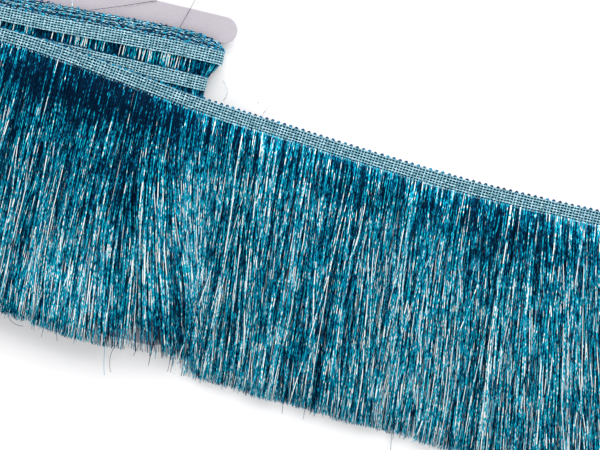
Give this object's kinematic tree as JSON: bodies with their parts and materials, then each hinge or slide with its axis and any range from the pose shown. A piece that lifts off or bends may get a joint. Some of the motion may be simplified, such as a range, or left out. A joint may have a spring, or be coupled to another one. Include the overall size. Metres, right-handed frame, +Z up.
{
  "type": "chainette fringe trim wound on a card",
  "caption": "Metallic fringe trim with a chain-stitched heading, wound flat on a card, with its loose end laid out beside it, ready to cut and sew on.",
  "frame": {"origin": "middle of the winding's flat underside, on the surface that the part rests on", "axes": "+X along the card towards the loose end, +Y from the fringe's cut ends towards the heading, +Z up, out of the winding's front"},
  "size_m": [0.4548, 0.2042, 0.0161],
  "materials": {
    "card": "matt pale grey board with a lilac cast",
    "heading": "pale aqua chain-stitched yarn",
    "fringe": "glossy teal metallic strands with pale glints"
  },
  "bodies": {
    "root": {"card": "card", "winding": "fringe", "heading_loose": "heading", "fringe_last_turn": "fringe", "fringe_loose": "fringe"}
  },
  "joints": []
}
